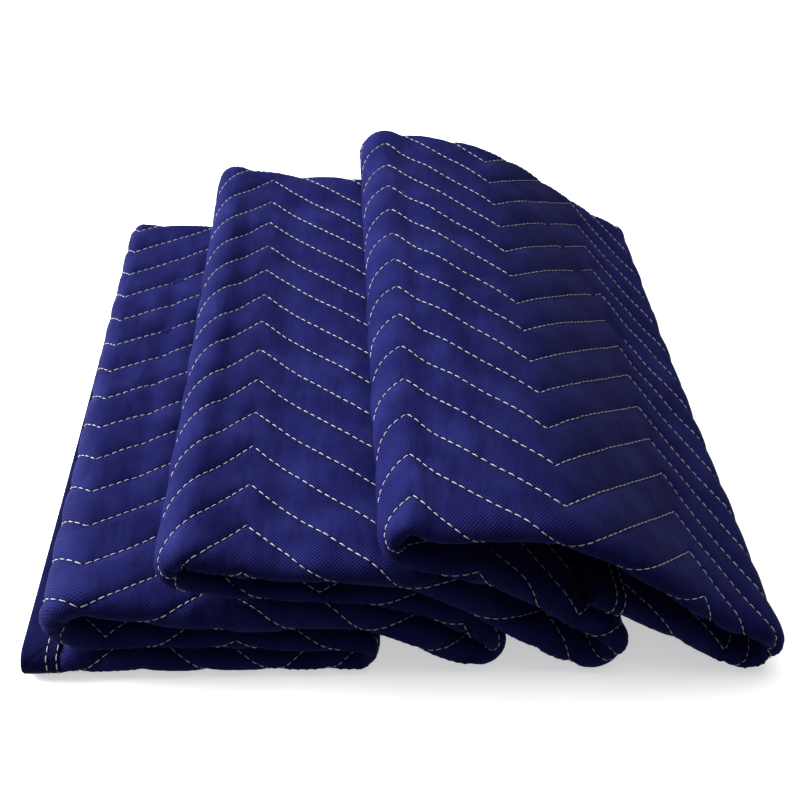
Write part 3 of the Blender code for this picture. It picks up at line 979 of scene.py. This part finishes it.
def cloth_material(name, base, dark, pale, waffle_height, pucker_height):
    """Matt embossed cloth: dots, fibres and puckers change its colour a little, by painted shade and bloom,
    and its normal more.
    """
    material = bpy.data.materials.new(name)
    material.use_nodes = True
    tree = material.node_tree
    shader = tree.nodes["Principled BSDF"]
    cloth, rows = uv_socket(tree, "cloth"), uv_socket(tree, "rows")
    pitches = zip(("Pitch Along", "Pitch Across"), WAFFLE_PITCH)
    dots = use_group(tree, WAFFLE, [("Cloth", cloth)], pitches)
    fibres = use_group(tree, FIBRES, [("Cloth", cloth)])
    puckers = use_group(tree, PUCKERS, [("Rows", rows)], [("Pitch", ROW_PITCH)])
    pits = calc(tree, "MULTIPLY_ADD", dots.outputs["Dots"], PITS[1], PITS[0], clamp=True)
    color = cloth_color(tree, pits, fibres, puckers, base, dark, pale)
    tree.links.new(color, shader.inputs["Base Color"])
    rough = calc(tree, "MULTIPLY_ADD", fibres.outputs["Fibres"], ROUGHNESS[1], ROUGHNESS[0])
    tree.links.new(rough, shader.inputs["Roughness"])
    height = cloth_height(tree, pits, fibres, puckers, waffle_height, pucker_height)
    bump = tree.nodes.new("ShaderNodeBump")
    bump.inputs["Strength"].default_value = 1.0
    bump.inputs["Distance"].default_value = 1.0
    tree.links.new(height, bump.inputs["Height"])
    tree.links.new(bump.outputs[0], shader.inputs["Normal"])
    shader.inputs["Specular IOR Level"].default_value = 0.025
    shader.inputs["Sheen Weight"].default_value = 0.01
    shader.inputs["Sheen Roughness"].default_value = 0.45
    shader.inputs["Sheen Tint"].default_value = SHEEN_TINT
    return material


quilt_finish = cloth_material("quilted_cloth", NAVY, PAINTED_SHADE_NAVY, PALE_NAVY, 0.00028, 0.0006)
binding_finish = cloth_material("binding_cloth", BINDING_NAVY, PAINTED_SHADE_NAVY, NAVY, 0.00030, 0.0003)
print("cloth finishes:", quilt_finish.name, "and", binding_finish.name)

# %% [markdown]
# ## The thread's finish
# The thread is an off-white cord of twisted strands. Its twist is a sine that slants round the stitch, as
# painted shade in the colour: darker stripes between the strands.

# %% Thread material
# The darker end of the twist stripes is painted shade between the strands.
THREAD_PAINTED_SHADE = (0.24, 0.24, 0.28, 1.0)
THREAD_PALE = (0.50, 0.49, 0.50, 1.0)
TWIST_ALONG = 30.0  # radians along a stitch
TWIST_ROUND = 12.566  # radians in one turn round it


def thread_material():
    """Off-white twisted thread: fine slanting stripes of painted shade from a sine along and round the
    stitch.
    """
    material = bpy.data.materials.new("quilting_thread")
    material.use_nodes = True
    tree = material.node_tree
    shader = tree.nodes["Principled BSDF"]
    parts = tree.nodes.new("ShaderNodeSeparateXYZ")
    tree.links.new(uv_socket(tree, "cloth"), parts.inputs[0])
    along = calc(tree, "MULTIPLY", parts.outputs["X"], TWIST_ALONG)
    turned = calc(tree, "MULTIPLY", parts.outputs["Y"], TWIST_ROUND)
    ridges = calc(tree, "MULTIPLY_ADD", calc(tree, "SINE", calc(tree, "ADD", along, turned)), 0.5, 0.5)
    color = blend_colors(tree, ridges, THREAD_PAINTED_SHADE, THREAD_PALE)
    tree.links.new(color, shader.inputs["Base Color"])
    shader.inputs["Roughness"].default_value = 0.6
    shader.inputs["Specular IOR Level"].default_value = 0.3
    return material


thread_finish = thread_material()
for piece, finish in (
    (sheet, quilt_finish), (lower_binding, binding_finish), (inner_binding, binding_finish),
    *((thread, thread_finish) for thread in threads),
):
    piece.data.materials.append(finish)

# %% [markdown]
# ## What each piece is
# Every piece rides on the one body. The cloth pieces stand for the frame's solids.

# %% Pieces and the frame
SLOTS = {
    sheet: "quilted_cloth", lower_binding: "binding_cloth", inner_binding: "binding_cloth",
    **{thread: "stitch_thread" for thread in threads},
}
for piece, slot in SLOTS.items():
    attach(piece, "root")
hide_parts("quilted_sheet")
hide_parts("lower_end_binding")
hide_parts("inner_end_binding")
print("pieces:", [piece.name for piece in SLOTS])

# %% [markdown]
# ## Stage and light
# A plain pale floor, a broad soft light low on the left that grazes the cloth and brings out its relief,
# and a weak fill from above. The floor glows a little and throws no light back, so the folds stay dark
# underneath.

# %% Floor and lights
FLOOR_HALF = 6.0
FLOOR_DROP = 0.0005  # the floor lies just below the cloth
FLOOR_GLOW = 0.5
WHITE = (1.0, 1.0, 1.0, 1.0)
SKY = (0.92, 0.95, 1.0, 1.0)
SKY_STRENGTH = 0.27
TARGET = (0.0, 0.0, 0.05)  # place on the blanket that the lights look at


def plain_material(name, color, roughness):
    """A finish of one colour and one roughness."""
    material = bpy.data.materials.new(name)
    material.use_nodes = True
    shader = material.node_tree.nodes["Principled BSDF"]
    shader.inputs["Base Color"].default_value = color
    shader.inputs["Roughness"].default_value = roughness
    return material


corners = [(-1, -1), (1, -1), (1, 1), (-1, 1)]
floor_points = np.array([(FLOOR_HALF * x, FLOOR_HALF * y, -FLOOR_DROP) for x, y in corners])
floor = add_mesh("floor", floor_points, [[0, 1, 2, 3]])
floor_finish = plain_material("pale_floor", (0.85, 0.85, 0.85, 1.0), 0.9)
floor_shader = floor_finish.node_tree.nodes["Principled BSDF"]
floor_shader.inputs["Emission Color"].default_value = WHITE
floor_shader.inputs["Emission Strength"].default_value = FLOOR_GLOW
floor.data.materials.append(floor_finish)
floor.visible_diffuse = False  # the floor throws no light back on the cloth


def area_light(name, place, size, power):
    """A square area light that looks at the target: yaw and pitch are the angles of the line between them."""
    data = bpy.data.lights.new(name, "AREA")
    data.size = size
    data.energy = power
    light = bpy.data.objects.new(name, data)
    light.location = place
    away = np.array(place) - np.array(TARGET)
    yaw = np.arctan2(away[0], -away[1])
    pitch = np.arctan2(np.hypot(away[0], away[1]), away[2])
    light.rotation_euler = (pitch, 0.0, yaw)
    bpy.context.scene.collection.objects.link(light)


area_light("key_light", (-2.1, 0.45, 1.15), 1.6, 208.0)
area_light("top_fill", (0.2, 0.5, 2.6), 2.5, 48.0)
world = bpy.data.worlds.new("studio")
world.use_nodes = True
background = world.node_tree.nodes["Background"]
background.inputs["Color"].default_value = SKY
background.inputs["Strength"].default_value = SKY_STRENGTH
bpy.context.scene.world = world
bpy.context.scene.view_settings.view_transform = "Standard"
print("lights:", [light.name for light in bpy.data.lights])

# %% [markdown]
# ## The camera
# The camera stands close in front of the blanket and looks down on it, so its near rims look larger than
# its back. It isn't turned sideways: a small shift moves the blanket to its place in the frame instead.

# %% Camera
CAMERA_PLACE = (-0.0524, -0.7771, 0.6774)
CAMERA_TILT = 49.2  # degrees up from looking straight down
camera_data = bpy.data.cameras.new("camera")
camera_data.lens = 49.5
camera_data.sensor_width = 36.0
camera_data.shift_x = 0.0875
camera = bpy.data.objects.new("camera", camera_data)
camera.location = CAMERA_PLACE
camera.rotation_euler = (np.radians(CAMERA_TILT), 0.0, 0.0)
bpy.context.scene.collection.objects.link(camera)
bpy.context.scene.camera = camera
print("camera is", round(float(np.linalg.norm(CAMERA_PLACE)), 3), "m from the origin")
